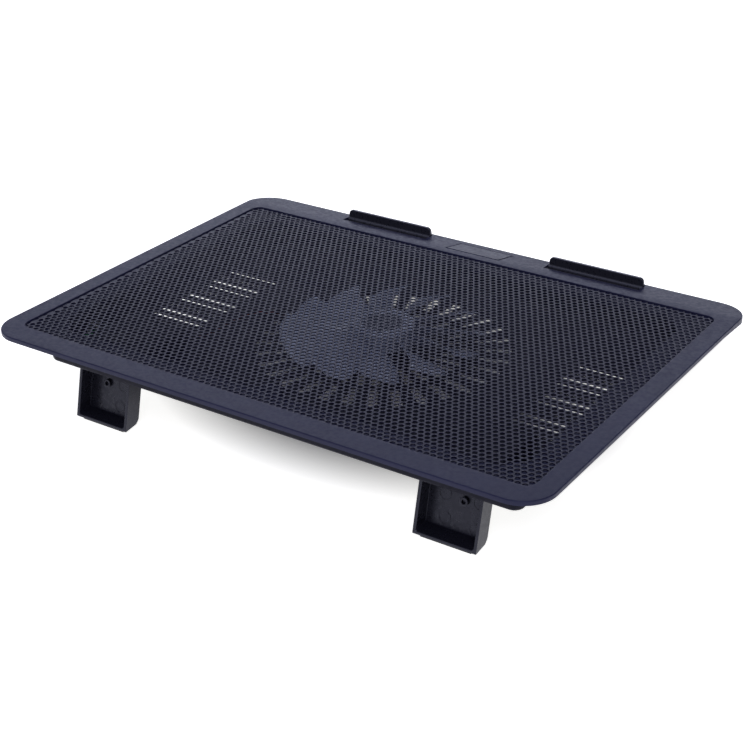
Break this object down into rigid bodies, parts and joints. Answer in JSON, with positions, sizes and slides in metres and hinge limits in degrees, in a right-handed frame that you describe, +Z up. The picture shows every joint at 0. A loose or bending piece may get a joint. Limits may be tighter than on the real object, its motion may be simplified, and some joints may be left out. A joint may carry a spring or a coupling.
{
  "type": "laptop cooling pad",
  "caption": "Slim tilted laptop cooling pad: perforated sheet in a plastic frame over one large fan, fold-out rear legs and flip-up front stops.",
  "frame": {"origin": "on the table surface, under the middle of the pad's outline, with the pad standing on its front feet and open legs", "axes": "+X to the user's right across the pad, -Y towards the user and the stops, +Y towards the rear and the legs, +Z up"},
  "size_m": [0.35, 0.2576, 0.0556],
  "materials": {
    "frame_plastic": "fine-textured moulded plastic, dark blue-grey",
    "sheet_steel": "perforated sheet steel, satin black coating",
    "casing_plastic": "fine-textured moulded plastic, near black",
    "leg_plastic": "moulded plastic, near black, slight sheen",
    "stop_plastic": "smooth black moulded plastic",
    "rubber": "matt black rubber",
    "badge_plastic": "blank plate, smooth, black",
    "fan_plastic": "translucent smoke-blue moulded plastic",
    "label_film": "blank round label",
    "steel": "bright zinc-plated steel",
    "bronze": "sintered bronze",
    "core_steel": "laminated electrical steel",
    "copper_wire": "enamelled copper winding",
    "circuit_board": "green solder mask",
    "ferrite": "bonded ferrite magnet",
    "wire_sleeve": "black flexible sleeve"
  },
  "bodies": {
    "platform": {"top_frame": "frame_plastic", "mesh_panel": "sheet_steel", "bottom_shell": "casing_plastic", "name_plate": "badge_plastic", "front_foot_left": "rubber", "front_foot_right": "rubber", "rear_foot_left": "rubber", "rear_foot_right": "rubber", "leg_pin_left": "steel", "leg_pin_right": "steel", "case_screw_1": "steel", "case_screw_2": "steel", "case_screw_3": "steel", "case_screw_4": "steel", "case_screw_5": "steel", "case_screw_6": "steel", "motor_base": "casing_plastic", "bearing": "bronze", "thrust_cap": "rubber", "motor_board": "circuit_board", "stator_core": "core_steel", "stator_coil_1": "copper_wire", "stator_coil_2": "copper_wire", "stator_coil_3": "copper_wire", "stator_coil_4": "copper_wire", "motor_screw_1": "steel", "motor_screw_2": "steel", "motor_screw_3": "steel", "usb_inlet": "steel", "inlet_tongue": "casing_plastic", "inlet_board": "circuit_board", "fan_lead": "wire_sleeve"},
    "left_leg": {"leg_left": "leg_plastic", "leg_pad_left": "rubber"},
    "right_leg": {"leg_right": "leg_plastic", "leg_pad_right": "rubber"},
    "left_stop": {"stop_left": "stop_plastic"},
    "right_stop": {"stop_right": "stop_plastic"},
    "fan": {"fan_rotor": "fan_plastic", "hub_label": "label_film", "rotor_magnet": "ferrite", "fan_shaft": "steel"}
  },
  "joints": [
    {"name": "left_leg_fold", "type": "hinge", "parent": "platform", "child": "left_leg", "pos_m": [-0.1134, 0.09707, 0.03511], "axis": [-1, 0, 0], "range_deg": [0, 103]},
    {"name": "right_leg_fold", "type": "hinge", "parent": "platform", "child": "right_leg", "pos_m": [0.1134, 0.09707, 0.03511], "axis": [-1, 0, 0], "range_deg": [0, 103]},
    {"name": "left_stop_fold", "type": "hinge", "parent": "platform", "child": "left_stop", "pos_m": [-0.0775, -0.1231, 0.01945], "axis": [-1, 0, 0], "range_deg": [0, 90]},
    {"name": "right_stop_fold", "type": "hinge", "parent": "platform", "child": "right_stop", "pos_m": [0.0705, -0.1231, 0.01945], "axis": [-1, 0, 0], "range_deg": [0, 90]},
    {"name": "fan_spin", "type": "hinge", "parent": "platform", "child": "fan", "pos_m": [0, -0.00785, 0.02455], "axis": [0, -0.1332, 0.9911], "continuous": true}
  ]
}
